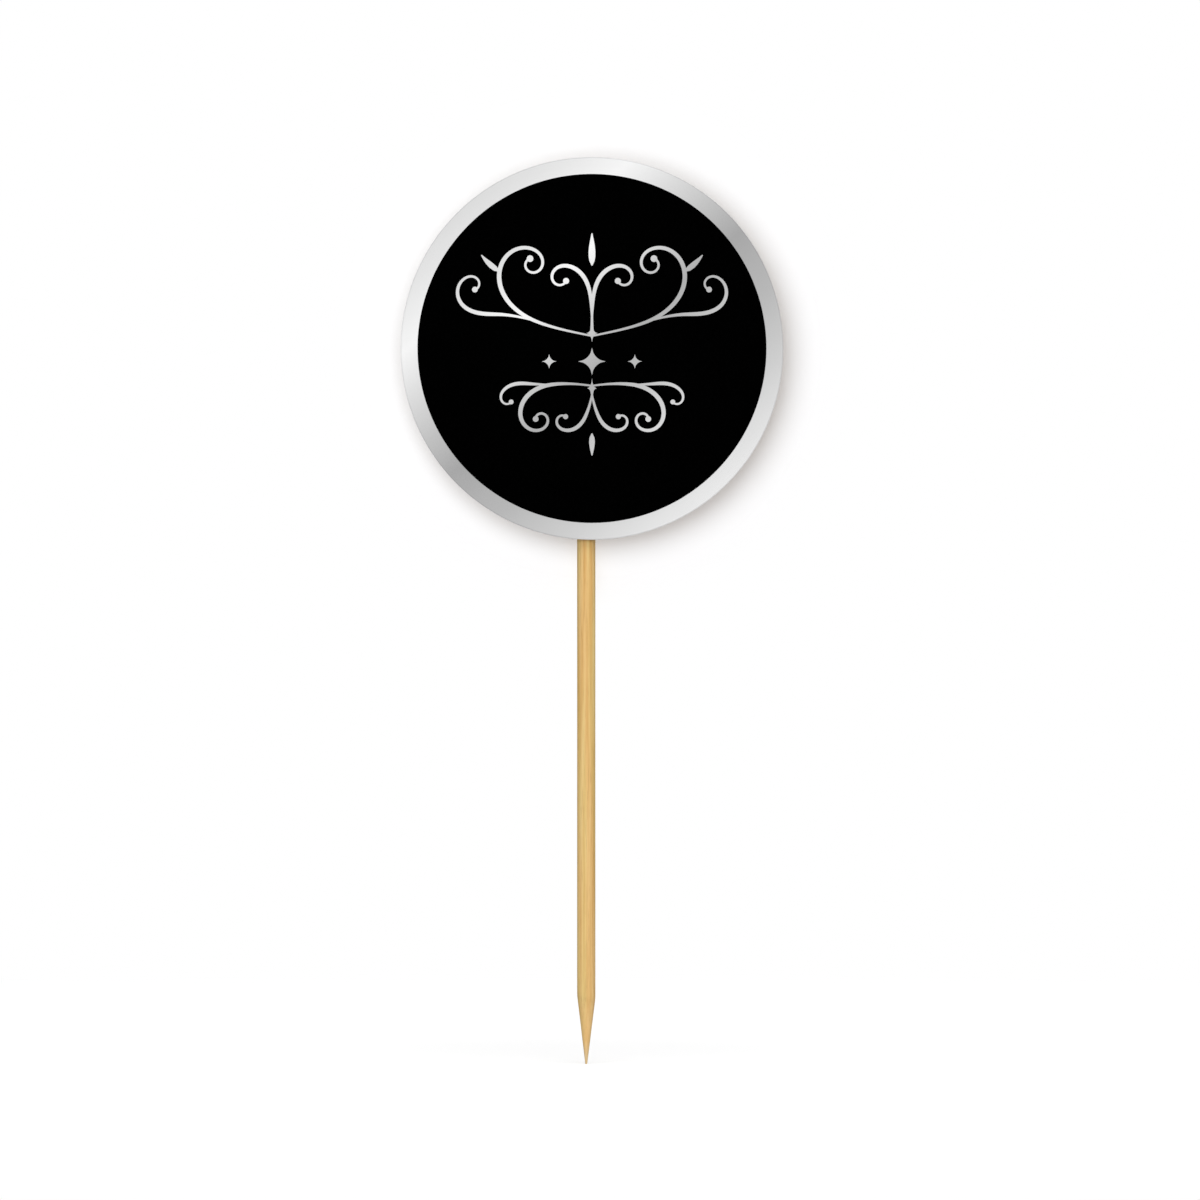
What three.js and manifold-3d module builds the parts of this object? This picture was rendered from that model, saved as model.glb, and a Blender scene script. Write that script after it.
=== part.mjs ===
// Cupcake topper: a round two-faced card badge on a sharpened bamboo stick.
// Millimetres. +Z is up, the printed face looks along -Y, and the origin is the stick's point.
import * as THREE from 'three';
import { mergeVertices } from 'three/addons/utils/BufferGeometryUtils.js';
import Module from 'manifold-3d';

const wasm = await Module();
wasm.setup();

// Badge
const discDiameter = 50;
const ringWidth = 2.2;
const boardThickness = 0.35;
const filmThickness = 0.05;
const blackCardThickness = 0.3;
const foilThickness = 0.06;

// Stick
const stickDiameter = 2.4;
const stickShowing = 68.6;
const stickStopBelowTop = 18.6;
const taperLength = 8.8;
const tipDiameter = 0.26;
const cutEndChamfer = 0.15;
const discOffset = 0.75;

// Between the two boards
const stickClearance = 0.3;
const padSize = 10;
const padRimMargin = 1.5;
const padAngle = 30;
const padTurns = { upper_left: 3, upper_right: -4, lower_left: -2, lower_right: 3.5, top: -3 };
const beadWidth = 3.2;
const beadStopBelowEnd = 6.4;
const beadRimMargin = 3;
const beadSplit = 1.0;
const beadWeb = 0.06;

// Foil ornament: each scroll keeps a margin to the black card's edge at its widest
const upperScrollMargin = 4.9;
const upperScrollHeight = 1.6;
const lowerScrollMargin = 10.6;
const lowerScrollHeight = -4.9;
const strokeWidth = 0.58;
const hairlineWidth = 0.24;
const leafTipWidth = 0.12;
const starRow = -1.7;
const centerStarRadius = 1.8;
const sideStarRadius = 0.95;
const sideStarSpacing = 5.6;
const starPinch = 0.6;

// Facets
const discSides = 96;
const stickSides = 32;
const ballSides = 16;
const starSides = 48;
const curveTolerance = 0.008;
const straightBend = 0.16;

// Sizes worked out from the driving ones
const discRadius = discDiameter / 2;
const blackRadius = discRadius - ringWidth;
const stickRadius = stickDiameter / 2;
const stickLength = stickShowing + discDiameter - stickStopBelowTop;
const discCenter = stickShowing + discRadius;
const halfGap = stickRadius + stickClearance;
const boardFace = halfGap + boardThickness;
const filmFace = boardFace + filmThickness;
const blackFace = filmFace + blackCardThickness;

const materials = {
  bamboo: new THREE.MeshStandardMaterial({ color: '#d9b478', roughness: 0.7, metalness: 0 }),
  silver: new THREE.MeshStandardMaterial({ color: '#d6d7d8', roughness: 0.25, metalness: 1 }),
  greyboard: new THREE.MeshStandardMaterial({ color: '#d9d5cc', roughness: 0.9, metalness: 0 }),
  blackCard: new THREE.MeshStandardMaterial({ color: '#060606', roughness: 0.6, metalness: 0 }),
  foam: new THREE.MeshStandardMaterial({ color: '#f1efe9', roughness: 0.95, metalness: 0 }),
  glue: new THREE.MeshStandardMaterial({ color: '#e9e4d6', roughness: 0.35, metalness: 0 }),
};

// A closed mesh as a solid for cutting and joining
function toSolid(geometry) {
  const bare = geometry.index ? geometry.toNonIndexed() : geometry.clone();
  bare.deleteAttribute('normal');
  bare.deleteAttribute('uv');
  const merged = mergeVertices(bare, 1e-5);
  const vertProperties = new Float32Array(merged.attributes.position.array);
  const triVerts = new Uint32Array(merged.index.array);
  return new wasm.Manifold(new wasm.Mesh({ numProp: 3, vertProperties, triVerts }));
}

function toGeometry(solid) {
  const { vertProperties, triVerts } = solid.getMesh();
  const geometry = new THREE.BufferGeometry();
  geometry.setAttribute('position', new THREE.BufferAttribute(new Float32Array(vertProperties), 3));
  geometry.setIndex(new THREE.BufferAttribute(new Uint32Array(triVerts), 1));
  geometry.computeVertexNormals();
  return geometry;
}

function joined(solids) {
  return solids.reduce((sum, solid) => sum.add(solid));
}

function named(name, geometry, material) {
  const mesh = new THREE.Mesh(geometry, material);
  mesh.name = name;
  return mesh;
}

// An outline drawn in X and Z, standing from nearY to farY, where nearY is the smaller
function standingPlate(outline, nearY, farY) {
  const shape = new THREE.Shape(outline.map(([x, z]) => new THREE.Vector2(x, z)));
  const geometry = new THREE.ExtrudeGeometry(shape, { depth: farY - nearY, bevelEnabled: false });
  geometry.rotateX(Math.PI / 2);
  geometry.translate(0, farY, 0);
  return geometry;
}

// A round card layer, flat to the badge's plane
function discLayer(name, radius, nearY, farY, material) {
  const layer = named(name, new THREE.CylinderGeometry(radius, radius, farY - nearY, discSides), material);
  layer.position.y = (nearY + farY) / 2;
  return layer;
}

// Bamboo stick: turned along Z, sharpened below and cut square above
function stickGeometry() {
  const profile = [
    [0, 0],
    [tipDiameter / 2, 0],
    [stickRadius, taperLength],
    [stickRadius, stickLength - cutEndChamfer],
    [stickRadius - cutEndChamfer, stickLength],
    [0, stickLength],
  ].map(([radius, height]) => new THREE.Vector2(radius, height));
  return new THREE.LatheGeometry(profile, stickSides).rotateX(Math.PI / 2);
}

// Foam pad: a hand-placed square spacer, turned a little in the badge's plane
function padMesh(place, centerX, centerZ) {
  const turn = THREE.MathUtils.degToRad(padTurns[place]);
  const corners = [[-1, -1], [1, -1], [1, 1], [-1, 1]].map(([x, z]) => [
    centerX + (padSize / 2) * (x * Math.cos(turn) - z * Math.sin(turn)),
    centerZ + (padSize / 2) * (x * Math.sin(turn) + z * Math.cos(turn)),
  ]);
  return named(`foam_pad_${place}`, standingPlate(corners, -halfGap, halfGap), materials.foam);
}

function padMeshes() {
  const reach = discRadius - padRimMargin - padSize * Math.SQRT1_2;
  const across = reach * Math.cos(THREE.MathUtils.degToRad(padAngle));
  const along = reach * Math.sin(THREE.MathUtils.degToRad(padAngle));
  const roomMiddle = (stickLength + stickShowing + discDiameter) / 2 - discCenter;
  return [
    padMesh('upper_left', -across, along),
    padMesh('upper_right', across, along),
    padMesh('lower_left', -across, -along),
    padMesh('lower_right', across, -along),
    padMesh('top', 0, roomMiddle),
  ];
}

// Hot-melt bead: fills the space between the boards along one side of the stick
function beadMesh(name, side) {
  const endRadius = (beadWidth - beadSplit / 2) / 2;
  const middle = side * (beadSplit / 2 + endRadius);
  const low = -discRadius + beadRimMargin + endRadius;
  const high = stickLength - beadStopBelowEnd - discCenter - endRadius;
  const outline = [];
  for (let i = 0; i <= ballSides; i += 1) {
    const angle = Math.PI * (1 + i / ballSides);
    outline.push([middle + endRadius * Math.cos(angle), low + endRadius * Math.sin(angle)]);
  }
  for (let i = 0; i <= ballSides; i += 1) {
    const angle = Math.PI * (i / ballSides);
    outline.push([middle + endRadius * Math.cos(angle), high + endRadius * Math.sin(angle)]);
  }
  const bead = toSolid(standingPlate(outline, -halfGap, halfGap));
  const grooveRadius = halfGap - beadWeb;
  const groove = new THREE.CylinderGeometry(grooveRadius, grooveRadius, discDiameter, stickSides);
  const cut = bead.subtract(toSolid(groove.rotateX(Math.PI / 2)));
  const mesh = named(name, toGeometry(cut), materials.glue);
  mesh.position.x = -discOffset;
  return mesh;
}

// Centreline of a pen stroke. Each stretch is a length, and the curvature at its start and end,
// which changes evenly between them. A step is short enough for the tolerance at the tightest bend.
function traceStroke(start, heading, stretches, scale) {
  const points = [];
  let [x, z] = start.map((value) => value * scale);
  let direction = THREE.MathUtils.degToRad(heading);
  let travelled = 0;
  points.push({ x, z, direction, travelled });
  for (const [length, bendIn, bendOut] of stretches) {
    const tightest = Math.max(Math.abs(bendIn), Math.abs(bendOut), straightBend) / scale;
    const step = Math.sqrt((8 * curveTolerance) / tightest);
    const count = Math.ceil((length * scale) / step);
    const advance = (length * scale) / count;
    for (let i = 0; i < count; i += 1) {
      const bend = (bendIn + ((bendOut - bendIn) * (i + 0.5)) / count) / scale;
      direction += (bend * advance) / 2;
      x += Math.cos(direction) * advance;
      z += Math.sin(direction) * advance;
      direction += (bend * advance) / 2;
      travelled += advance;
      points.push({ x, z, direction, travelled });
    }
  }
  return points;
}

// Ribbon along a centreline, swelling from one end width to the full width and back
function ribbonOutline(points, widthAt) {
  const total = points[points.length - 1].travelled;
  const left = [];
  const right = [];
  for (const { x, z, direction, travelled } of points) {
    const half = widthAt(travelled / total) / 2;
    left.push([x - half * Math.sin(direction), z + half * Math.cos(direction)]);
    right.push([x + half * Math.sin(direction), z - half * Math.cos(direction)]);
  }
  return [...right, ...left.reverse()];
}

function swelling(startWidth, fullWidth, endWidth, peak) {
  return (t) => {
    const before = Math.sin((Math.PI / 2) * Math.min(1, t / peak)) ** 2;
    const after = Math.cos((Math.PI / 2) * Math.max(0, (t - peak) / (1 - peak))) ** 2;
    return t < peak
      ? startWidth + (fullWidth - startWidth) * before
      : endWidth + (fullWidth - endWidth) * after;
  };
}

// A leaf is widest a little before its middle
function leafShape(fullWidth) {
  return (t) => leafTipWidth + (fullWidth - leafTipWidth) * Math.sin(Math.PI * t ** 0.7);
}

function circleOutline(centerX, centerZ, radius, sides) {
  return Array.from({ length: sides }, (_, i) => {
    const angle = (2 * Math.PI * i) / sides;
    return [centerX + radius * Math.cos(angle), centerZ + radius * Math.sin(angle)];
  });
}

// Four-pointed star with hollow sides
function starOutline(centerX, centerZ, radiusX, radiusZ) {
  return Array.from({ length: starSides }, (_, i) => {
    const angle = (2 * Math.PI * i) / starSides;
    const spread = Math.abs(Math.cos(angle)) ** starPinch + Math.abs(Math.sin(angle)) ** starPinch;
    const reach = spread ** (-1 / starPinch);
    return [centerX + radiusX * reach * Math.cos(angle), centerZ + radiusZ * reach * Math.sin(angle)];
  });
}

function foilPlate(outline) {
  return standingPlate(outline, -blackFace - foilThickness, -blackFace);
}

// The same outline on the other side of the badge's middle, still running the same way round
function mirrored(outline) {
  return outline.map(([x, z]) => [-x, z]).reverse();
}

function upsideDown(outline) {
  return outline.map(([x, z]) => [x, -z]).reverse();
}

// Centreline of one stroke of a design, which may leave another stroke part of the way along
function strokeLine(stroke, scale) {
  if (!stroke.from) {
    return traceStroke(stroke.start, stroke.heading, stroke.stretches, scale);
  }
  const parent = strokeLine(stroke.from, scale);
  const root = parent.find(({ travelled }) => travelled >= stroke.leaves * scale);
  const heading = THREE.MathUtils.radToDeg(root.direction) + stroke.turn;
  return traceStroke([root.x / scale, root.z / scale], heading, stroke.stretches, scale);
}

// Scale at which a design's widest stroke reaches the given distance from its middle
function designScale(design, reach) {
  const widest = Math.max(...design.strokes.flatMap((stroke) => strokeLine(stroke, 1).map(({ x }) => x)));
  return (reach - strokeWidth / 2) / widest;
}

// Both halves of a scroll ornament as outlines, standing on z = 0 about x = 0
function scrollOutlines(design, scale) {
  const half = [];
  for (const stroke of design.strokes) {
    const line = strokeLine(stroke, scale);
    half.push(ribbonOutline(line, stroke.width));
    if (stroke.ball) {
      const end = line[line.length - 1];
      half.push(circleOutline(end.x, end.z, stroke.ball, ballSides));
    }
  }
  const knot = starOutline(0, design.knot.height * scale, design.knot.radiusX, design.knot.radiusZ);
  return [...half, ...half.map(mirrored), knot];
}

const upperStem = {
  start: [-0.1, 0],
  heading: 12,
  stretches: [[6, -0.01, 0.05], [8, 0.06, 0.24], [6, 0.24, 0.4], [6.5, 0.4, 1.35]],
  width: swelling(hairlineWidth, strokeWidth, hairlineWidth * 1.25, 0.5),
  ball: 0.44,
};
const upperDesign = {
  knot: { height: 0.35, radiusX: 0.7, radiusZ: 1.2 },
  finial: { height: 8.3, length: 3.8, width: 0.9 },
  strokes: [
    upperStem,
    {
      from: upperStem,
      leaves: 6.5,
      turn: -6,
      stretches: [[4, -0.03, -0.08], [4.5, -0.1, 0.35], [4, 0.4, 0.55], [3.2, 0.6, 1.6]],
      width: swelling(hairlineWidth, strokeWidth * 0.9, hairlineWidth * 1.1, 0.45),
      ball: 0.38,
    },
    {
      start: [-0.1, 0.5],
      heading: 86,
      stretches: [[4, 0.03, -0.05], [5, -0.1, -0.42], [5, -0.45, -1.35]],
      width: swelling(hairlineWidth, strokeWidth * 0.95, hairlineWidth * 1.2, 0.5),
      ball: 0.4,
    },
    {
      from: upperStem,
      leaves: 14.5,
      turn: -66,
      stretches: [[2.9, 0.12, 0.12]],
      width: leafShape(0.74),
    },
  ],
};

const lowerStem = {
  start: [-0.1, 0],
  heading: -8,
  stretches: [[5, 0.02, 0.08], [6, 0.12, 0.36], [4, 0.38, 0.6], [4, 0.6, 1.6]],
  width: swelling(hairlineWidth, strokeWidth, hairlineWidth * 1.25, 0.45),
  ball: 0.38,
};
const lowerDesign = {
  knot: { height: 0.3, radiusX: 0.6, radiusZ: 1.3 },
  finial: { height: 6, length: 2.8, width: 0.75 },
  strokes: [
    lowerStem,
    {
      from: lowerStem,
      leaves: 5.2,
      turn: -10,
      stretches: [[3, -0.04, 0], [3.2, 0.1, 0.5], [2.8, 0.6, 1.7]],
      width: swelling(hairlineWidth, strokeWidth * 0.8, hairlineWidth, 0.45),
      ball: 0.32,
    },
    {
      start: [-0.1, 0.6],
      heading: 80,
      stretches: [[3.4, -0.03, -0.12], [3.6, -0.2, -0.62], [3, -0.65, -1.7]],
      width: swelling(hairlineWidth, strokeWidth * 0.85, hairlineWidth * 1.1, 0.5),
      ball: 0.34,
    },
  ],
};

function scrollMeshes(place, design, margin, height, turnOver) {
  const scale = designScale(design, blackRadius - margin);
  const side = turnOver ? upsideDown : (outline) => outline;
  const plates = scrollOutlines(design, scale).map((outline) => toSolid(foilPlate(side(outline))));
  const scroll = named(`foil_${place}_scroll`, toGeometry(joined(plates)), materials.silver);
  const { finial } = design;
  const leaf = traceStroke([0, finial.height], 90, [[finial.length, 0, 0]], scale);
  const leafOutline = side(ribbonOutline(leaf, leafShape(finial.width)));
  const tip = named(`foil_${place}_finial`, foilPlate(leafOutline), materials.silver);
  scroll.position.z = height;
  tip.position.z = height;
  return [scroll, tip];
}

function starMesh(name, centerX, radius) {
  return named(name, foilPlate(starOutline(centerX, starRow, radius, radius)), materials.silver);
}

const stick = named('pick_stick', stickGeometry(), materials.bamboo);

const badge = new THREE.Group();
badge.position.set(discOffset, 0, discCenter);
badge.add(
  discLayer('front_board', discRadius, -boardFace, -halfGap, materials.greyboard),
  discLayer('front_silver_film', discRadius, -filmFace, -boardFace, materials.silver),
  discLayer('black_disc', blackRadius, -blackFace, -filmFace, materials.blackCard),
  discLayer('back_board', discRadius, halfGap, boardFace, materials.greyboard),
  discLayer('back_silver_film', discRadius, boardFace, filmFace, materials.silver),
  ...padMeshes(),
  beadMesh('glue_bead_left', -1),
  beadMesh('glue_bead_right', 1),
  ...scrollMeshes('upper', upperDesign, upperScrollMargin, upperScrollHeight, false),
  ...scrollMeshes('lower', lowerDesign, lowerScrollMargin, lowerScrollHeight, true),
  starMesh('foil_star_center', 0, centerStarRadius),
  starMesh('foil_star_left', -sideStarSpacing, sideStarRadius),
  starMesh('foil_star_right', sideStarSpacing, sideStarRadius),
);

const topper = new THREE.Group();
topper.add(stick, badge);

export default topper;
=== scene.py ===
"""Looks of the cupcake topper: a round card badge on a bamboo stick. Metres, +Z up, front towards -Y."""
import math

import bpy
import numpy as np
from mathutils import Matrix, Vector, noise


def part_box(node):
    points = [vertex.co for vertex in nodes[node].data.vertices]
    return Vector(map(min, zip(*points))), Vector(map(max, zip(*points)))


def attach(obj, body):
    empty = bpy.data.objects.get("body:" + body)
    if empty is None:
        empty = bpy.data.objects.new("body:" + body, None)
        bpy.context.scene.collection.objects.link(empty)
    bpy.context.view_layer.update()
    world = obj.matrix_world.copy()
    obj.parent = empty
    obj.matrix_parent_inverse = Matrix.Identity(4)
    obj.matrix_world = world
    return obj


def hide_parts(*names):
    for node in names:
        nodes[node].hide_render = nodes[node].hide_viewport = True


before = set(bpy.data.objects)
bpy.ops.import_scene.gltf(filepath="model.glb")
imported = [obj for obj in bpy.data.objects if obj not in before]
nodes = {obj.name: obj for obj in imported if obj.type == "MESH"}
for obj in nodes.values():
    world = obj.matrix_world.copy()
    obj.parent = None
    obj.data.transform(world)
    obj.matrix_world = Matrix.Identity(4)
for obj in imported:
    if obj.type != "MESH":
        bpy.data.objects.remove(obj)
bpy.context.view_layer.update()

MM = 0.001

# Where the photograph puts the object
PHOTO_SIZE_PX = 1200
PHOTO_PX_PER_MM = 7.652
STICK_AXIS_PX = 586.25
STICK_POINT_PX = 1064.0
LENS_MM = 300.0
SENSOR_MM = 36.0

# Sizes of the stick that its box doesn't give
TAPER_LENGTH = 8.8 * MM
TAPER_SKEW = 0.2 * MM
TIP_RADIUS = 0.13 * MM
CUT_END_CHAMFER = 0.15 * MM

RIDGE_DEPTH = 0.008 * MM
FIBRE_DEPTH = 0.006 * MM

# How the layers, pads and beads depart from their plain solids. A turned layer has a ring of points
# at RIM_BAND in from its rim, within which it is quite flat.
RIM_BAND = 0.5 * MM
BOARD_ROUNDING = 0.05 * MM
BOARD_RAGGEDNESS = 0.03 * MM
BLACK_CARD_ROUNDING = 0.04 * MM
BLACK_CARD_RAGGEDNESS = 0.012 * MM
PAD_WAIST = 0.16 * MM
PAD_PORE_DEPTH = 0.22 * MM
PAD_CORNER_CUT = 0.12 * MM
BEAD_WEB = 0.06 * MM
BEAD_BULGE = 0.22 * MM
FOIL_EDGE = 0.018 * MM

# Fineness of the meshes
DISC_SIDES = 256
STICK_SIDES = 72
PAD_STEPS_ALONG = 44
PAD_STEPS_ACROSS = 14
BEAD_RINGS = 70
BEAD_STEPS = 13

# Lamps: name, turn and rise in degrees, size, and level, which is how brightly the lamp lights a white
# surface that faces it. A turn of 0 is in front of the badge, and 90 to its right.
LAMP_DISTANCE = 3.0
ROOM_LAMPS = (
    ("key", 2, 16, 1.9, 0.46),
    ("top", 2, 68, 2.7, 0.9),
    ("back_right", 160, 14, 1.9, 0.34),
    ("back_left", -160, 14, 1.9, 0.34),
)
EDGE_LAMPS = (
    ("side_right", 90, 8, 1.9, 0.16),
    ("side_left", -90, 8, 1.9, 0.16),
)
GAP_LAMPS = (
    ("gap_right", 90, 8, 0.6, 0.32),
    ("gap_left", -90, 8, 0.6, 0.32),
)
SKY_FILL = 0.27

# Backdrop and floor, and the shadow that the badge throws on the backdrop
BACKDROP_LEVEL = 3.85
BACKDROP_GAP = 0.15 * MM
BACKDROP_HALF_WIDTH = 34 * MM
BACKDROP_ALBEDO = (0.278, 0.291, 0.305, 1)
BACKDROP_GLOW = (0.262, 0.222, 0.192, 1)
BACKDROP_CLEAR = 30 * MM
FLOOR_HALF_WIDTH = 1.6
FLOOR_ALBEDO = 0.5
FLOOR_GLOW = 0.42
FLOOR_SHADED = 120 * MM
FLOOR_CLEAR = 300 * MM
FLOOR_BOUNCE = 0.36
SHADOW_RIGHT = 1.0 * MM
SHADOW_DOWN = 0.71 * MM
SHADOW_BLUR = 2.8 * MM


def middle(low, high):
    return (low + high) / 2


film_low, film_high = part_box("front_silver_film")
DISC_CENTER = middle(film_low, film_high)


def layer(node):
    """Radius, near face and far face of a round card layer."""
    low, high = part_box(node)
    return (high.x - low.x) / 2, low.y, high.y


def linear(red, green, blue):
    """A screen colour from 0 to 255 as the linear colour that a shader takes."""
    parts = []
    for value in (red, green, blue):
        share = value / 255
        parts.append(share / 12.92 if share <= 0.04045 else ((share + 0.055) / 1.055) ** 2.4)
    return (*parts, 1.0)


# Meshes

def add_mesh(name, points, faces, sharp_angle=40):
    """A smooth-shaded mesh object whose edges steeper than the angle stay sharp."""
    mesh = bpy.data.meshes.new(name)
    mesh.from_pydata([tuple(point) for point in points], [], faces)
    mesh.update()
    mesh.polygons.foreach_set("use_smooth", [True] * len(mesh.polygons))
    mesh.set_sharp_from_angle(angle=math.radians(sharp_angle))
    obj = bpy.data.objects.new(name, mesh)
    bpy.context.scene.collection.objects.link(obj)
    return obj


def tube_faces(rings, sides):
    """Quads between rings of points, with a fan over each end, whose middles are the last two points."""
    faces = []
    for ring in range(rings - 1):
        for side in range(sides):
            following = (side + 1) % sides
            low, high = ring * sides, (ring + 1) * sides
            faces.append((low + side, low + following, high + following, high + side))
    first_middle = rings * sides
    last = (rings - 1) * sides
    for side in range(sides):
        following = (side + 1) % sides
        faces.append((first_middle, following, side))
        faces.append((first_middle + 1, last + side, last + following))
    return faces


def turned_disc(name, profile, raggedness=0.0):
    """A round layer turned about the badge's own Y axis. The profile runs from the front to the back,
    as (radius, y), and leaves out the axis. The rim gives way inwards by up to the raggedness."""
    points = []
    widest = max(radius for radius, _ in profile)
    for radius, y in profile:
        near_rim = max(0.0, 1 - (widest - radius) / (0.3 * MM))
        for side in range(DISC_SIDES):
            angle = -2 * math.pi * side / DISC_SIDES
            seed = Vector((math.cos(angle) * 40, y / MM * 3, math.sin(angle) * 40))
            reach = radius - raggedness * near_rim * (0.5 + 0.5 * noise.noise(seed))
            points.append((
                DISC_CENTER.x + reach * math.cos(angle),
                y,
                DISC_CENTER.z + reach * math.sin(angle),
            ))
    for _, y in (profile[0], profile[-1]):
        points.append((DISC_CENTER.x, y, DISC_CENTER.z))
    return add_mesh(name, points, tube_faces(len(profile), DISC_SIDES), 30)


def finish_piece(obj, material, replaced):
    obj.data.materials.clear()
    obj.data.materials.append(material)
    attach(obj, "root")
    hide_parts(replaced)
    return obj


# Shader nodes

class Shader:
    """The node tree of a new material or world, with short calls for the nodes used here."""

    def __init__(self, name, kept_in=bpy.data.materials):
        self.owner = kept_in.new(name)
        self.owner.use_nodes = True
        self.tree = self.owner.node_tree
        self.tree.nodes.clear()
        self.place = self.node("ShaderNodeTexCoord").outputs["Object"]

    def node(self, kind, inputs=None, **settings):
        made = self.tree.nodes.new(kind)
        for key, value in settings.items():
            setattr(made, key, value)
        for key, value in (inputs or {}).items():
            socket = made.inputs[key]
            if isinstance(value, bpy.types.NodeSocket):
                self.tree.links.new(value, socket)
            elif socket.type == "RGBA" and isinstance(value, float):
                socket.default_value = (value, value, value, 1)
            else:
                socket.default_value = value
        return made

    def stretched(self, scale, offset=(0, 0, 0)):
        inputs = {"Vector": self.place, "Location": offset, "Scale": scale}
        return self.node("ShaderNodeMapping", inputs).outputs["Vector"]

    def noise(self, vector, scale, detail=3.0, roughness=0.5, distortion=0.0):
        inputs = {
            "Vector": vector,
            "Scale": scale,
            "Detail": detail,
            "Roughness": roughness,
            "Distortion": distortion,
        }
        return self.node("ShaderNodeTexNoise", inputs).outputs["Fac"]

    def cells(self, vector, scale):
        return self.node("ShaderNodeTexVoronoi", {"Vector": vector, "Scale": scale}).outputs["Distance"]

    def math(self, operation, first, second=0.0):
        return self.node("ShaderNodeMath", {0: first, 1: second}, operation=operation).outputs[0]

    def vector_math(self, operation, first, second, output):
        made = self.node("ShaderNodeVectorMath", {0: first, 1: second}, operation=operation)
        return made.outputs[output]

    def part_of_place(self, axis):
        return self.node("ShaderNodeSeparateXYZ", {0: self.place}).outputs[axis]

    def spread(self, value, low, high, new_low=0.0, new_high=1.0):
        """Maps low..high to new_low..new_high, held at the ends."""
        inputs = {"Value": value, "From Min": low, "From Max": high, "To Min": new_low, "To Max": new_high}
        return self.node("ShaderNodeMapRange", inputs).outputs["Result"]

    def ramp(self, value, stops, interpolation="LINEAR"):
        made = self.node("ShaderNodeValToRGB", {"Fac": value})
        made.color_ramp.interpolation = interpolation
        elements = made.color_ramp.elements
        elements[0].position, elements[0].color = stops[0]
        elements[-1].position, elements[-1].color = stops[-1]
        for place, color in stops[1:-1]:
            elements.new(place).color = color
        return made.outputs["Color"]

    def mix(self, share, first, second, blend="MIX"):
        inputs = {0: share, 6: first, 7: second}
        return self.node("ShaderNodeMix", inputs, data_type="RGBA", blend_type=blend).outputs[2]

    def bump(self, height, distance, strength):
        inputs = {"Height": height, "Distance": distance, "Strength": strength}
        return self.node("ShaderNodeBump", inputs).outputs["Normal"]

    def end(self, surface, kind="ShaderNodeOutputMaterial"):
        """Ends the tree in this shader socket, and returns the material or world."""
        self.node(kind, {"Surface": surface})
        return self.owner

    def surface(self, **inputs):
        """Ends the tree in a Principled shader; underscores in the names stand for spaces."""
        named = {key.replace("_", " "): value for key, value in inputs.items()}
        return self.end(self.node("ShaderNodeBsdfPrincipled", named).outputs[0])


# Painted sheen of the silver: soft bands of reflected light and shade painted into the base colour,
# fixed to the badge. Across the disc, from 0 at one side to 1 at the other, the tone falls from a pale
# side to a band of painted shade, rises to a band of painted light and falls to the far side. Each band
# is a place and a grey from 0 to 255. A sag above 1 makes the first fall steep at first and gentle near
# the shade.
PAINTED_SHEEN_STEPS = 3
FILM_PAINTED_SHEEN_ANGLE = math.radians(130)
FILM_PAINTED_SHEEN_BANDS = {
    "pale": (0.0, 236),
    "shade": (0.485, 169),
    "light": (0.81, 248),
    "far": (1.0, 221),
    "sag": 1.3,
}
FOIL_PAINTED_SHEEN_ANGLE = math.radians(135)
FOIL_PAINTED_SHEEN_BANDS = {
    "pale": (0.1, 244),
    "shade": (0.455, 177),
    "light": (0.69, 253),
    "far": (0.92, 211),
    "sag": 1.0,
}


def painted_sheen_stops(pale, shade, light, far, sag):
    """Colour stops for the painted sheen's run of tones from band to band, even in screen tone."""
    stops = []
    for first, second, bend in ((pale, shade, sag), (shade, light, 1), (light, far, 1)):
        for step in range(PAINTED_SHEEN_STEPS):
            left = 1 - step / PAINTED_SHEEN_STEPS
            place = second[0] + (first[0] - second[0]) * left
            grey = second[1] + (first[1] - second[1]) * left ** bend
            stops.append((place, linear(grey, grey, grey)))
    place, grey = far
    return [*stops, (place, linear(grey, grey, grey))]


def painted_sheen_color(shader, angle, bands, interpolation="LINEAR"):
    """A painted sheen: a run of soft tones of painted light and shade across the badge in the direction
    of the angle, from one side of the disc at 0 to the other at 1."""
    radius = layer("front_silver_film")[0]
    direction = Vector((math.cos(angle), 0, math.sin(angle)))
    along = shader.vector_math("DOT_PRODUCT", shader.place, direction, "Value")
    start = direction.dot(DISC_CENTER)
    share = shader.spread(along, start - radius, start + radius)
    return shader.ramp(share, painted_sheen_stops(**bands), interpolation)


def silver_film_material(name, radius, interpolation):
    """Metallised film on card: a soft sheen of light and shade painted into its base colour, faint
    rolling marks, and a darker, ragged band at the die-cut edge.
    """
    shader = Shader(name)
    flat = shader.stretched((1, 0, 1))
    # painted sheen: bands of light and shade painted into the base colour
    tone = painted_sheen_color(shader, FILM_PAINTED_SHEEN_ANGLE, FILM_PAINTED_SHEEN_BANDS, interpolation)
    reach = shader.vector_math("DISTANCE", flat, (DISC_CENTER.x, 0, DISC_CENTER.z), "Value")
    ragged = shader.math("MULTIPLY", shader.noise(flat, scale=900), 0.1 * MM)
    reach = shader.math("ADD", reach, ragged)
    # darker in a ragged band at the die-cut edge
    edge = shader.spread(reach, radius - 0.12 * MM, radius + 0.05 * MM)
    tone = shader.mix(shader.math("MULTIPLY", edge, 0.3), tone, linear(130, 131, 134))
    waves = shader.bump(shader.noise(flat, scale=90, detail=0), 0.05 * MM, strength=0.3)
    rough = shader.spread(shader.noise(flat, scale=350), 0.3, 0.7, 0.18, 0.26)
    return shader.surface(Base_Color=tone, Metallic=1.0, Roughness=rough, Normal=waves)


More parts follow.
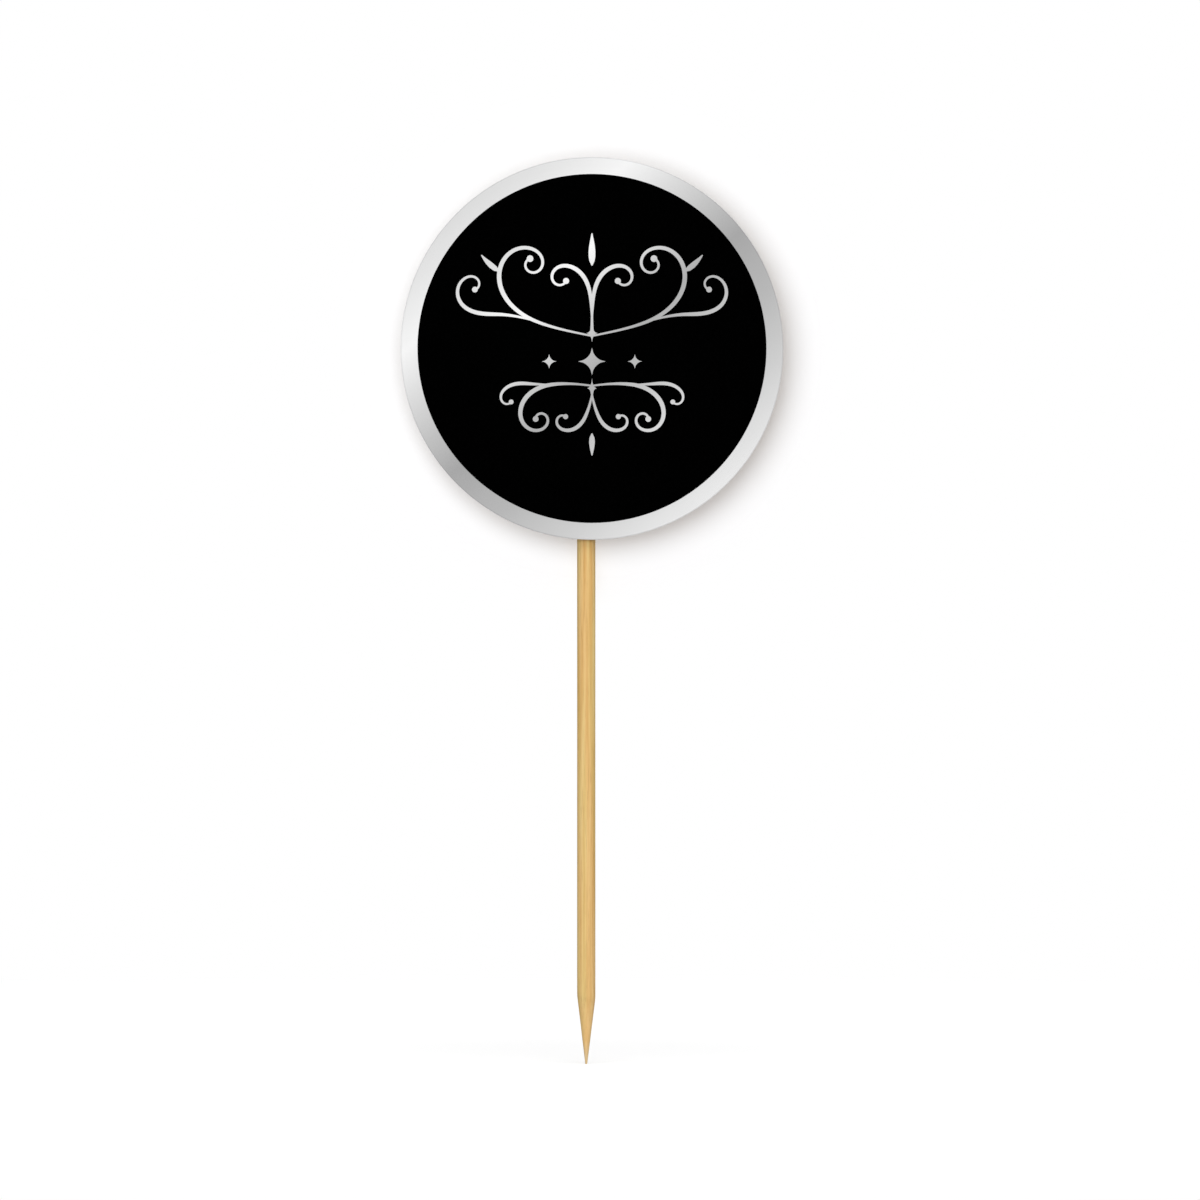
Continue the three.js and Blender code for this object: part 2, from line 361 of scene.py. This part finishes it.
def foil_material():
    """Stamped silver foil: a painted sheen like the film's, a little brighter, with fine press marks."""
    shader = Shader("stamped_foil")
    flat = shader.stretched((1, 0, 1))
    # painted sheen: bands of light and shade painted into the base colour
    tone = painted_sheen_color(shader, FOIL_PAINTED_SHEEN_ANGLE, FOIL_PAINTED_SHEEN_BANDS)
    press = shader.noise(flat, scale=5200, roughness=0.6)
    tone = shader.mix(shader.spread(press, 0.4, 0.62, 0, 0.04), tone, linear(150, 150, 152))
    rough = shader.spread(press, 0.35, 0.65, 0.19, 0.26)
    normal = shader.bump(press, 0.003 * MM, strength=0.6)
    return shader.surface(Base_Color=tone, Metallic=1.0, Roughness=rough, Normal=normal)


def black_card_material():
    """Matt black dyed card with a fine fibrous tooth."""
    shader = Shader("black_card")
    fibres = shader.noise(shader.place, scale=4200, detail=4, roughness=0.65, distortion=0.6)
    tone = shader.ramp(fibres, ((0.4, linear(0, 0, 0)), (0.75, linear(2, 2, 2))))
    rough = shader.spread(shader.noise(shader.place, scale=700), 0.3, 0.7, 0.5, 0.66)
    normal = shader.bump(fibres, 0.006 * MM, strength=0.5)
    return shader.surface(Base_Color=tone, Roughness=rough, Specular_IOR_Level=0.0025, Normal=normal)


def board_material():
    """Uncoated card core: off-white pulp in thin layers, with stray darker fibres."""
    shader = Shader("card_core")
    pulp = shader.noise(shader.stretched((1, 14, 1)), scale=1500, detail=5, roughness=0.6)
    tone = shader.ramp(pulp, (
        (0.3, linear(217, 212, 202)),
        (0.5, linear(228, 224, 216)),
        (0.72, linear(236, 233, 226)),
    ))
    elsewhere = shader.stretched((1, 1, 1), (0.3, 0.1, 0.2))
    strays = shader.noise(elsewhere, scale=5200, detail=2, distortion=1.5)
    tone = shader.mix(shader.spread(strays, 0.66, 0.74, 0, 0.3), tone, linear(170, 160, 144))
    normal = shader.bump(pulp, 0.01 * MM, strength=0.6)
    return shader.surface(Base_Color=tone, Roughness=0.92, Specular_IOR_Level=0.25, Normal=normal)


def foam_material(half_thickness):
    """White foam tape: open pores at the cut sides, with painted shade in their hollows, and a yellowish
    glue film at both faces.
    """
    shader = Shader("foam_tape")
    pores = shader.cells(shader.place, scale=3600)
    # painted shade: the pore hollows are darker in colour
    tone = shader.ramp(pores, ((0.05, linear(196, 192, 182)), (0.45, linear(243, 241, 235))))
    depth = shader.math("ABSOLUTE", shader.part_of_place("Y"))
    film = shader.spread(depth, half_thickness - 0.17 * MM, half_thickness - 0.13 * MM)
    tone = shader.mix(film, tone, linear(222, 209, 168))
    rough = shader.math("SUBTRACT", 0.95, shader.math("MULTIPLY", film, 0.5))
    normal = shader.bump(pores, 0.05 * MM, strength=0.6)
    return shader.surface(Base_Color=tone, Roughness=rough, Specular_IOR_Level=0.3, Normal=normal)


def glue_material():
    """Set hot-melt glue: milky, waxy and slightly uneven."""
    shader = Shader("hot_melt_glue")
    clouds = shader.noise(shader.place, scale=500)
    tone = shader.ramp(clouds, ((0.35, linear(224, 217, 200)), (0.65, linear(240, 236, 224))))
    rough = shader.spread(clouds, 0.3, 0.7, 0.28, 0.42)
    normal = shader.bump(clouds, 0.06 * MM, strength=0.5)
    return shader.surface(
        Base_Color=tone,
        Roughness=rough,
        Normal=normal,
        Subsurface_Weight=0.25,
        Subsurface_Scale=1.2 * MM,
    )


def bamboo_material():
    """Sanded bamboo: soft pale and tan streaks, fine dark vessels and a dry surface, with warmer, lighter
    wood where the taper is cut, partly the cut wood's own tone and partly painted light that lifts the
    downward-facing taper, and a paler point."""
    shader = Shader("bamboo")
    broad = shader.noise(shader.stretched((1, 1, 0.03)), scale=1100, detail=1)
    streaks = shader.noise(shader.stretched((1, 1, 0.022), (0.01, 0.02, 0)), scale=2600)
    vessels = shader.noise(shader.stretched((1, 1, 0.035), (0.03, 0.01, 0)), scale=9000, roughness=0.6)
    tone = shader.ramp(streaks, (
        (0.3, linear(219, 177, 110)),
        (0.5, linear(228, 192, 130)),
        (0.7, linear(236, 206, 146)),
    ))
    warm = shader.spread(broad, 0.4, 0.62)
    tint = shader.mix(warm, linear(251, 255, 245), linear(255, 249, 244))
    tone = shader.mix(1.0, tone, tint, "MULTIPLY")
    dark = shader.spread(vessels, 0.54, 0.66, 0, 0.3)
    tone = shader.mix(dark, tone, linear(176, 128, 72))
    height = shader.part_of_place("Z")
    # partly painted light: lifts the downward-facing taper, besides the cut wood's warmer tone
    cut = shader.spread(height, TAPER_LENGTH - 1.6 * MM, TAPER_LENGTH, 0.3, 0)
    tone = shader.mix(cut, tone, linear(252, 207, 144))
    point = shader.spread(height, 1.0 * MM, 3.0 * MM, 0.55, 0)
    tone = shader.mix(point, tone, linear(227, 206, 166))
    relief = shader.math("SUBTRACT", streaks, shader.math("MULTIPLY", dark, 0.8))
    normal = shader.bump(relief, 0.03 * MM, strength=0.5)
    rough = shader.spread(streaks, 0.3, 0.7, 0.78, 0.64)
    return shader.surface(Base_Color=tone, Roughness=rough, Specular_IOR_Level=0.02, Normal=normal)


# Stick

def stick_radius(height, across, full_radius, length):
    """Radius of the sharpened stick. The taper begins a little higher on the left, where across is -1."""
    shoulder = TAPER_LENGTH - TAPER_SKEW * across
    taper = TIP_RADIUS + (full_radius - TIP_RADIUS) * height / shoulder
    softness = 0.02 * MM
    blunt = -softness * math.log(math.exp(-taper / softness) + math.exp(-full_radius / softness))
    chamfer = full_radius - max(0.0, height - (length - CUT_END_CHAMFER))
    return min(blunt, chamfer, full_radius)


def stick_heights(length):
    tip = [0.0, 0.02 * MM, 0.06 * MM, 0.12 * MM]
    taper = [0.2 * MM + step * 0.16 * MM for step in range(56)]
    shaft_start = taper[-1] + 0.3 * MM
    shaft = list(np.linspace(shaft_start, length - 2 * CUT_END_CHAMFER, 230))
    return tip + taper + shaft + [length - CUT_END_CHAMFER, length - 0.05 * MM, length]


def make_stick():
    low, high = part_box("pick_stick")
    full_radius = (high.x - low.x) / 2
    axis = middle(low, high)
    length = high.z
    heights = stick_heights(length)
    points = []
    for height in heights:
        for side in range(STICK_SIDES):
            angle = 2 * math.pi * side / STICK_SIDES
            across, away = math.cos(angle), math.sin(angle)
            radius = stick_radius(height, across, full_radius, length)
            spot = Vector((across * radius, away * radius, 0)) / MM
            ridge = noise.noise(spot * 4.2 + Vector((0, 0, height / MM * 0.06)))
            fibre = noise.noise(spot * 10 + Vector((7, 3, height / MM * 0.16)))
            depth = RIDGE_DEPTH * (0.5 + 0.5 * ridge) + FIBRE_DEPTH * (0.5 + 0.5 * fibre)
            reach = max(radius - depth * min(1.0, radius / (0.4 * MM)), 0.3 * radius)
            points.append((axis.x + reach * across, axis.y + reach * away, height))
    points.append((axis.x, axis.y, 0))
    points.append((axis.x, axis.y, length))
    stick = add_mesh("bamboo_stick", points, tube_faces(len(heights), STICK_SIDES), 50)
    return finish_piece(stick, bamboo_material(), "pick_stick")


# Card layers

def film_profile(radius, outer, inner):
    """Mirror film whose rim rolls over towards the card, as a die leaves it. y runs from the outer
    face to the inner one, either way."""
    towards = math.copysign(1, inner - outer)
    thickness = abs(inner - outer)
    rolls = ((0.34, 0.0), (0.2, 0.08), (0.11, 0.26), (0.045, 0.52), (0.012, 0.78), (0.0, 1.0))
    return [(radius - inset * MM, outer + towards * share * thickness) for inset, share in rolls]


def make_films():
    """Makes both films, and returns the front one."""
    radius, near, far = layer("front_silver_film")
    profile = film_profile(radius, near, far)
    front = turned_disc("rim_film", [*profile, (radius - RIM_BAND, far)])
    material = silver_film_material("silver_film_front", radius, "LINEAR")
    finish_piece(front, material, "front_silver_film")
    radius, near, far = layer("back_silver_film")
    profile = film_profile(radius, far, near)
    profile.reverse()
    back = turned_disc("back_film", [(radius - RIM_BAND, near), *profile])
    material = silver_film_material("silver_film_back", radius, "B_SPLINE")
    finish_piece(back, material, "back_silver_film")
    return front


def make_board(node, name, material):
    """A round board with a softly rounded, slightly ragged edge."""
    radius, near, far = layer(node)
    corner = 0.3 * BOARD_ROUNDING
    profile = [
        (radius - RIM_BAND, near),
        (radius - BOARD_ROUNDING, near),
        (radius - corner, near + corner),
        *[(radius, near + (far - near) * share) for share in (0.2, 0.35, 0.5, 0.65, 0.8)],
        (radius - corner, far - corner),
        (radius - BOARD_ROUNDING, far),
        (radius - RIM_BAND, far),
    ]
    board = turned_disc(name, profile, BOARD_RAGGEDNESS)
    return finish_piece(board, material, node)


def make_black_card():
    """The black card, whose front edge is rounded in a quarter circle."""
    radius, near, far = layer("black_disc")
    steps = 4
    arc = []
    for step in range(steps + 1):
        angle = math.pi / 2 * step / steps
        inset = BLACK_CARD_ROUNDING * (1 - math.sin(angle))
        arc.append((radius - inset, near + BLACK_CARD_ROUNDING * (1 - math.cos(angle))))
    profile = [(radius - RIM_BAND, near), *arc, (radius, far), (radius - RIM_BAND, far)]
    card = turned_disc("black_card_face", profile, BLACK_CARD_RAGGEDNESS)
    return finish_piece(card, black_card_material(), "black_disc")


# Foam pads

def pad_corners(node):
    """The four corners of a pad in the badge's plane, in order round it."""
    corners = {(round(v.co.x, 6), round(v.co.z, 6)) for v in nodes[node].data.vertices}
    low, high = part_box(node)
    center = middle(low, high)
    return sorted(corners, key=lambda corner: math.atan2(corner[1] - center.z, corner[0] - center.x))


def make_pad(node, material):
    """A foam square, cut with a knife: soft corners, sides drawn in a little and full of pores."""
    low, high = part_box(node)
    center = middle(low, high)
    corners = pad_corners(node)
    rim = []
    for index, corner in enumerate(corners):
        following = corners[(index + 1) % len(corners)]
        for step in range(PAD_STEPS_ALONG):
            share = step / PAD_STEPS_ALONG
            rim.append((
                corner[0] + (following[0] - corner[0]) * share,
                corner[1] + (following[1] - corner[1]) * share,
                min(share, 1 - share) * PAD_STEPS_ALONG,
            ))
    points = []
    for step in range(PAD_STEPS_ACROSS + 1):
        share = step / PAD_STEPS_ACROSS
        y = high.y + (low.y - high.y) * share
        waist = math.sin(math.pi * share)
        for x, z, from_corner in rim:
            spot = Vector((x, y, z)) / MM
            pore = noise.noise(spot * 3.2) + 0.6 * noise.noise(spot * 7)
            inset = PAD_WAIST * waist + PAD_PORE_DEPTH * max(0.0, pore) * min(1.0, 3 * waist)
            inset += PAD_CORNER_CUT * max(0.0, 1 - from_corner / 2)
            away = Vector((x - center.x, 0, z - center.z))
            points.append(Vector((x, y, z)) - away.normalized() * inset)
    points.append((center.x, high.y, center.z))
    points.append((center.x, low.y, center.z))
    faces = tube_faces(PAD_STEPS_ACROSS + 1, len(rim))
    pad = add_mesh(f"foam_{node.removeprefix('foam_pad_')}", points, faces, 60)
    finish_piece(pad, material, node)
    return pad


# Glue beads

def make_bead(node, material):
    """A hot-melt bead along one side of the stick: hollow where the stick lies, and bulging unevenly
    on its outer side."""
    low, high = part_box(node)
    stick_low, stick_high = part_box("pick_stick")
    axis_x = middle(stick_low, stick_high).x
    side = math.copysign(1, middle(low, high).x - axis_x)
    half = (high.y - low.y) / 2
    groove = half - BEAD_WEB
    inner = min(abs(low.x - axis_x), abs(high.x - axis_x))
    outer = max(abs(low.x - axis_x), abs(high.x - axis_x))
    groove_turn = math.acos(inner / groove)
    points = []
    for ring in range(BEAD_RINGS):
        share = ring / (BEAD_RINGS - 1)
        z = low.z + (high.z - low.z) * share
        fullness = math.sin(math.pi * share) ** 0.28
        drift = noise.noise(Vector((side * 5, 0, z / MM * 0.35)))
        reach = groove + (outer - groove) * fullness * (0.86 + 0.14 * drift)
        bulge = BEAD_BULGE * fullness
        loop = []
        for step in range(BEAD_STEPS):
            angle = groove_turn * (1 - 2 * step / (BEAD_STEPS - 1))
            loop.append((groove * math.cos(angle), groove * math.sin(angle)))
        for step in range(BEAD_STEPS):
            angle = -math.pi / 2 + math.pi * step / (BEAD_STEPS - 1)
            loop.append((reach - bulge + bulge * math.cos(angle), half * math.sin(angle)))
        ordered = loop if side > 0 else loop[::-1]
        points.extend((axis_x + side * x, y, z) for x, y in ordered)
    sides = 2 * BEAD_STEPS
    for ring in (0, BEAD_RINGS - 1):
        end_ring = np.array(points[ring * sides:(ring + 1) * sides])
        points.append(end_ring.mean(0))
    faces = tube_faces(BEAD_RINGS, sides)
    bead = add_mesh(f"hot_melt_{node.removeprefix('glue_bead_')}", points, faces, 50)
    return finish_piece(bead, material, node)


# Foil ornament

def dress_foil(material):
    """The stamped pieces keep their solids, with edges softened as a hot die leaves them."""
    for name, node in nodes.items():
        if not name.startswith("foil_"):
            continue
        node.data.materials.clear()
        node.data.materials.append(material)
        soften = node.modifiers.new("softened edges", "BEVEL")
        soften.width = FOIL_EDGE
        soften.segments = 2
        soften.limit_method = "ANGLE"
        soften.angle_limit = math.radians(50)


# Stage, camera and light

def ray_is(shader, *kinds):
    """1 for rays of any of these kinds, and 0 for others."""
    path = shader.node("ShaderNodeLightPath")
    total = path.outputs[f"Is {kinds[0]} Ray"]
    for kind in kinds[1:]:
        total = shader.math("MAXIMUM", total, path.outputs[f"Is {kind} Ray"])
    return total


def stage_surface(shader, albedo, glow, clear):
    """A matt surface that adds its own glow, so that it shows white where nothing shades it, and that
    turns into plain white as clear goes from 0 to 1."""
    diffuse = shader.node("ShaderNodeBsdfDiffuse", {"Color": albedo})
    light = shader.node("ShaderNodeEmission", {"Color": glow})
    lit = shader.node("ShaderNodeAddShader", {0: diffuse.outputs[0], 1: light.outputs[0]})
    white = shader.node("ShaderNodeEmission", {"Color": (1, 1, 1, 1)})
    choice = {0: clear, 1: lit.outputs[0], 2: white.outputs[0]}
    return shader.node("ShaderNodeMixShader", choice).outputs[0]


def apart_from(shader, center, near, far):
    """A value that goes from 0 within the near distance of the centre to 1 past the far one."""
    return shader.spread(shader.vector_math("DISTANCE", shader.place, center, "Value"), near, far)


def floor_material():
    """Pale and matt, with the object's shadow to the eye, white in the silver, and darker to the
    light that it throws up at the object."""
    shader = Shader("floor_white")
    to_eye = ray_is(shader, "Camera")
    to_silver = ray_is(shader, "Glossy", "Transmission")
    albedo = shader.spread(to_eye, 0, 1, FLOOR_BOUNCE, FLOOR_ALBEDO)
    glow = shader.math("MULTIPLY", to_eye, FLOOR_GLOW)
    far_off = apart_from(shader, (0, 0, 0), FLOOR_SHADED, FLOOR_CLEAR)
    clear = shader.math("MAXIMUM", shader.math("MULTIPLY", to_eye, far_off), to_silver)
    return shader.end(stage_surface(shader, albedo, glow, clear))


def backdrop_material(center):
    """White paper just behind the badge, which takes its soft shadow. It is there for the eye alone,
    and only from its front, so it hides nothing from behind and keeps no light from the object."""
    shader = Shader("backdrop_white")
    clear = apart_from(shader, center, BACKDROP_CLEAR, BACKDROP_HALF_WIDTH)
    surface = stage_surface(shader, BACKDROP_ALBEDO, BACKDROP_GLOW, clear)
    behind = shader.node("ShaderNodeNewGeometry").outputs["Backfacing"]
    shown = shader.math("SUBTRACT", ray_is(shader, "Camera"), behind)
    unseen = shader.node("ShaderNodeBsdfTransparent")
    choice = shader.node("ShaderNodeMixShader", {0: shown, 1: unseen.outputs[0], 2: surface})
    return shader.end(choice.outputs[0])


def square(name, center, half_width, up, material):
    """A flat square stage piece about its centre. Its sides run along X and along the up direction."""
    right, up = Vector((half_width, 0, 0)), up * half_width
    corners = [center - right - up, center + right - up, center + right + up, center - right + up]
    piece = add_mesh(name, corners, [(0, 1, 2, 3)])
    piece.data.materials.append(material)
    return piece


def make_stage():
    """Makes the floor and the backdrop, and returns the backdrop."""
    square("floor", Vector(), FLOOR_HALF_WIDTH, Vector((0, 1, 0)), floor_material())
    behind = layer("back_silver_film")[2] + BACKDROP_GAP
    center = Vector((DISC_CENTER.x, behind, DISC_CENTER.z))
    return square("backdrop", center, BACKDROP_HALF_WIDTH, Vector((0, 0, 1)), backdrop_material(center))


def make_camera():
    """The photograph looks straight at the badge, from far away."""
    data = bpy.data.cameras.new("photo_camera")
    data.lens = LENS_MM
    data.sensor_width = SENSOR_MM
    data.clip_start = 0.01
    camera = bpy.data.objects.new("photo_camera", data)
    bpy.context.scene.collection.objects.link(camera)
    frame_width = PHOTO_SIZE_PX / PHOTO_PX_PER_MM * MM
    distance = frame_width * LENS_MM / SENSOR_MM
    stick_scale = (distance - film_low.y) / distance
    right = (PHOTO_SIZE_PX / 2 - STICK_AXIS_PX) / PHOTO_PX_PER_MM * MM * stick_scale
    up = (STICK_POINT_PX - PHOTO_SIZE_PX / 2) / PHOTO_PX_PER_MM * MM * stick_scale
    camera.location = (right, film_low.y - distance, up)
    camera.rotation_euler = (math.pi / 2, 0, 0)
    bpy.context.scene.camera = camera


def area_light(name, place, size, level):
    """A lamp that nothing mirrors, aimed at the badge, with the level of its light there."""
    data = bpy.data.lights.new(name, "AREA")
    data.shape = "DISK"
    data.size = size
    away = place - DISC_CENTER
    data.energy = level * math.pi ** 2 * away.length_squared
    lamp = bpy.data.objects.new(name, data)
    bpy.context.scene.collection.objects.link(lamp)
    lamp.location = place
    lamp.rotation_euler = away.to_track_quat("Z", "Y").to_euler()
    lamp.visible_glossy = False
    return lamp


def add_lamps(lamps, receivers):
    """Places lamps round the badge that light only these receivers."""
    for name, turn, rise, size, level in lamps:
        turn, rise = math.radians(turn), math.radians(rise)
        outwards = Vector((
            math.cos(rise) * math.sin(turn),
            -math.cos(rise) * math.cos(turn),
            math.sin(rise),
        ))
        lamp = area_light(name, DISC_CENTER + outwards * LAMP_DISTANCE, size, level)
        lamp.light_linking.receiver_collection = receivers


def group(name, members):
    made = bpy.data.collections.new(name)
    for member in members:
        made.objects.link(member)
    return made


def all_but(name, left_out):
    """A light's receivers: everything but these objects."""
    made = group(name, left_out)
    for member in made.collection_objects:
        member.light_linking.link_state = "EXCLUDE"
    return made


def light_backdrop(backdrop, front_layers):
    """A wide lamp for the backdrop alone. The front layers throw their shadow there, a little down and
    to the right."""
    near = middle(film_low, film_high).y
    depth = backdrop.data.vertices[0].co.y - near
    towards = Vector((-SHADOW_RIGHT, -depth, SHADOW_DOWN)).normalized()
    size = 2 * LAMP_DISTANCE * SHADOW_BLUR / depth
    lamp = area_light("backdrop_lamp", DISC_CENTER + towards * LAMP_DISTANCE, size, BACKDROP_LEVEL)
    lamp.light_linking.receiver_collection = group("lit_backdrop", [backdrop])
    lamp.light_linking.blocker_collection = group("backdrop_shadow", front_layers)


def make_sky():
    """Even light from all round, which shows white to the eye and in the silver."""
    shader = Shader("studio", bpy.data.worlds)
    seen = ray_is(shader, "Camera", "Glossy", "Transmission")
    strength = shader.spread(seen, 0, 1, SKY_FILL, 1)
    sky = shader.node("ShaderNodeBackground", {"Color": (1, 1, 1, 1), "Strength": strength})
    world = shader.end(sky.outputs[0], "ShaderNodeOutputWorld")
    world.cycles.sampling_method = "NONE"
    bpy.context.scene.world = world


def make_light(backdrop, stick, front_layers, spacers):
    """Soft light from the front and above, weaker lamps behind, and lamps on both sides for the badge's
    edges and for what lies between its boards."""
    add_lamps(ROOM_LAMPS, all_but("all_but_backdrop", [backdrop]))
    add_lamps(EDGE_LAMPS, all_but("all_but_backdrop_and_stick", [backdrop, stick]))
    add_lamps(GAP_LAMPS, group("between_the_boards", spacers))
    light_backdrop(backdrop, front_layers)
    make_sky()


make_camera()
paper = make_stage()
bamboo_stick = make_stick()
front_film = make_films()
card_core = board_material()
front_card = make_board("front_board", "front_card", card_core)
make_board("back_board", "back_card", card_core)
black_card = make_black_card()
foam = foam_material(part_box("foam_pad_top")[1].y)
pads = [make_pad(node, foam) for node in sorted(nodes) if node.startswith("foam_pad_")]
glue = glue_material()
beads = [make_bead(node, glue) for node in sorted(nodes) if node.startswith("glue_bead_")]
dress_foil(foil_material())
make_light(paper, bamboo_stick, [front_film, front_card, black_card], pads + beads)

bpy.context.scene.view_settings.view_transform = "Standard"
